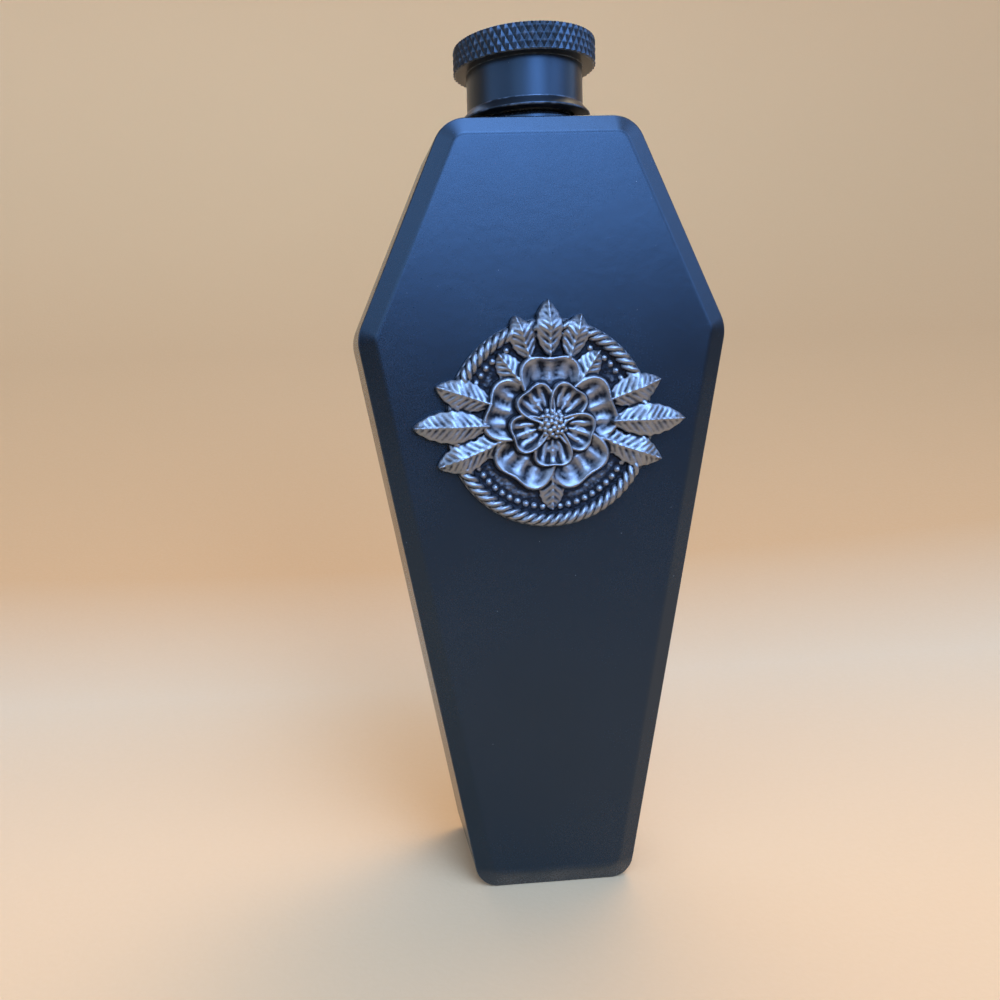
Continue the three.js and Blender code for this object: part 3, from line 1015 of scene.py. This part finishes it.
def pale_silicone():
    """Milky silicone with a faint grain."""
    g = Graph("pale_silicone")
    cloud = g.noise(SILICONE_CLOUD_SIZE, detail=3)
    grain = g.noise(SILICONE_GRAIN_SIZE, detail=2)
    colour = g.mix(cloud, SILICONE_DARK, SILICONE_PALE)
    return g.surface(Base_Color=colour, Roughness=g.spread(grain, *SILICONE_ROUGH),
                     Normal=g.bump(grain, SILICONE_GRAIN_DEPTH),
                     Subsurface_Weight=SILICONE_GLOW, Subsurface_Scale=SILICONE_GLOW_DEPTH)


def foam_tape():
    """Black foam with open cells."""
    g = Graph("foam_tape")
    foam = g.cells(FOAM_CELL)
    colour = g.mix(foam, FOAM_DARK, FOAM_PALE)
    return g.surface(Base_Color=colour, Roughness=g.remap(foam, 0.0, FOAM_CELL_EDGE, *FOAM_ROUGH),
                     Normal=g.bump(foam, FOAM_DEPTH))


def backdrop_paper():
    """Pale paper: painted shade darkens the front of the floor and the foot of its wall, and painted light
    makes it paler high up its wall.
    """
    g = Graph("backdrop_paper")
    fibre = g.noise(FIBRE_SIZE, detail=4)
    tone = g.noise(PAPER_TONE_SIZE, detail=2)
    depth = g.coordinate("Y")
    wall = g.mix(g.remap(g.coordinate("Z"), *LOW_TO_HIGH), g.mix(tone, *SHADED_LOW_WALL), g.mix(tone, *LIT_HIGH_WALL))
    colour = g.mix(g.remap(depth, *FRONT_TO_NEAR), g.mix(tone, *SHADED_FRONT_FLOOR), g.mix(tone, *NEAR_FLOOR))
    colour = g.mix(g.remap(depth, *NEAR_TO_FAR), colour, g.mix(tone, *FAR_FLOOR))
    colour = g.mix(g.remap(depth, *FLOOR_TO_WALL), colour, wall)
    return g.surface(Base_Color=colour, Roughness=g.spread(fibre, *FIBRE_ROUGH),
                     Normal=g.bump(fibre, FIBRE_DEPTH))


# The object
paint = satin_paint("satin_paint", BODY_MATT, BODY_RUB_AND_HIGHLIGHT)
cap_paint = satin_paint("cap_paint", CAP_MATT, CAP_RUB_AND_HIGHLIGHT)
steel = turned_steel()

dress("front_panel_pressing", panel(-1), "flask", "front_panel", "black_paint", paint)
dress("back_panel_pressing", panel(1), "flask", "back_panel", "black_paint", paint)
dress("side_band_strip", side_band(), "flask", "side_band", "black_paint", paint)
dress("threaded_neck", neck(), "flask", "neck", "bare_steel", steel, paint)
dress("knurled_cap", cap(), "screw_cap", "cap", "cap_paint", cap_paint, sharp=KNURL_SMOOTH_BELOW)
dress("sealing_liner", cap_liner(), "liner", "cap_liner", "silicone", pale_silicone())
dress("rose_badge", badge(), "flask", "badge", "pewter", cast_pewter(), sharp=CAST_SMOOTH_BELOW)
pad_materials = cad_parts["badge_adhesive"].data.materials
pad_materials.clear()
pad_materials.append(foam_tape())


# Stage, light and camera, in metres and watts
BOWL_CENTRE = (0.0, -0.85, 0.0)
BOWL_RADIUS = 1.5
BOWL_CURVE = 0.6
BOWL_CURVE_STEPS = 24
BOWL_HEIGHT = 2.2
BOWL_MIDDLE = 0.02
LIGHT_AIM = (0, 0, 0.1)
LIGHT_SPREAD = radians(50)
DAYLIGHT = (0.32, 0.54, 1.0)
PALE_DAYLIGHT = (0.42, 0.64, 1.0)
LAMPLIGHT = (1.0, 0.76, 0.48)
ROOM = (0.28, 0.28, 0.28, 1)
# Name, bearing and elevation in degrees, distance, size, power and colour
LIGHTS = [
    ("window", 12, 18.5, 2.0, (1.5, 0.8), 3.3, DAYLIGHT),
    ("sky", 12, 51, 2.0, (2.0, 1.8), 12, DAYLIGHT),
    ("left_sky", -46, 34, 1.3, (1.6, 1.2), 1.6, PALE_DAYLIGHT),
    ("right_sky", 57, 30, 1.3, (1.4, 1.2), 2.15, DAYLIGHT),
    ("left_front", -20, 17, 1.6, (0.8, 0.6), 0.38, PALE_DAYLIGHT),
    ("right_front", 43, 15, 1.6, (0.7, 0.6), 0.24, DAYLIGHT),
    ("left_room", -76, 15, 1.1, (1.1, 0.7), 0.42, PALE_DAYLIGHT),
    ("right_room", 96, 15, 1.1, (1.0, 0.7), 0.32, PALE_DAYLIGHT),
    ("warm_room", 140, 60, 1.1, (0.9, 0.7), 1.5, LAMPLIGHT),
    ("back_sky", 195, 55, 0.72, (1.2, 0.3), 0.35, PALE_DAYLIGHT),
]
CAMERA_PLACE = (-0.0451, -0.1887, 0.1095)
CAMERA_YAW = -0.0708
CAMERA_PITCH = -0.0870
CAMERA_ROLL = 0.0365
CAMERA_SENSOR = 36.0
CAMERA_LENS = 32.10
CAMERA_SHIFT = (0.1151, -0.0566)
CAMERA_NEAR = 0.01


def paper_bowl():
    """A floor of pale paper that curves up into a wall on every side."""
    profile, _ = rounded([(BOWL_MIDDLE, 0, 0), (BOWL_RADIUS, 0, BOWL_CURVE), (BOWL_RADIUS, BOWL_HEIGHT, 0)],
                         BOWL_CURVE_STEPS)
    shape = Shape()
    shape.loft([circle(radius, height) for radius, height in profile], lid=False)
    mesh = shape.mesh("paper", unit=1.0)
    mesh.shade_smooth()
    mesh.materials.append(backdrop_paper())
    bowl = bpy.data.objects.new("paper_bowl", mesh)
    bowl.location = BOWL_CENTRE
    bpy.context.scene.collection.objects.link(bowl)


def soft_light(name, bearing, elevation, distance, size, power, colour):
    """A rectangular area light that faces the flask. Its bearing is to the right of straight in front."""
    data = bpy.data.lights.new(name, "AREA")
    data.shape = "RECTANGLE"
    data.size, data.size_y = size
    data.energy = power
    data.color = colour
    data.spread = LIGHT_SPREAD
    lamp = bpy.data.objects.new(name, data)
    lamp.visible_camera = False
    bpy.context.scene.collection.objects.link(lamp)
    turn = Matrix.Rotation(radians(bearing), 4, "Z") @ Matrix.Rotation(radians(90 - elevation), 4, "X")
    lamp.matrix_world = Matrix.Translation(LIGHT_AIM) @ turn @ Matrix.Translation((0, 0, distance))


def light():
    """Cool daylight from the front, the sides and behind, and one warm lamp at the back right."""
    for row in LIGHTS:
        soft_light(*row)
    world = bpy.data.worlds.new("room")
    world.use_nodes = True
    world.node_tree.nodes["Background"].inputs["Color"].default_value = ROOM
    bpy.context.scene.world = world
    bpy.context.scene.view_settings.view_transform = "Standard"


def camera():
    """The camera of the photograph, found from the flask's own edges.

    The photograph is a part cut from a wider one, so the lens is shifted to frame the same part.
    """
    data = bpy.data.cameras.new("camera")
    data.sensor_width = CAMERA_SENSOR
    data.lens = CAMERA_LENS
    data.shift_x, data.shift_y = CAMERA_SHIFT
    data.clip_start = CAMERA_NEAR
    eye = bpy.data.objects.new("camera", data)
    bpy.context.scene.collection.objects.link(eye)
    turn = Matrix.Rotation(CAMERA_YAW, 4, "Z") @ Matrix.Rotation(CAMERA_PITCH, 4, "X")
    turn = turn @ Matrix.Rotation(CAMERA_ROLL, 4, "Y") @ Matrix.Rotation(pi / 2, 4, "X")
    eye.matrix_world = Matrix.Translation(CAMERA_PLACE) @ turn
    bpy.context.scene.camera = eye


paper_bowl()
light()
camera()
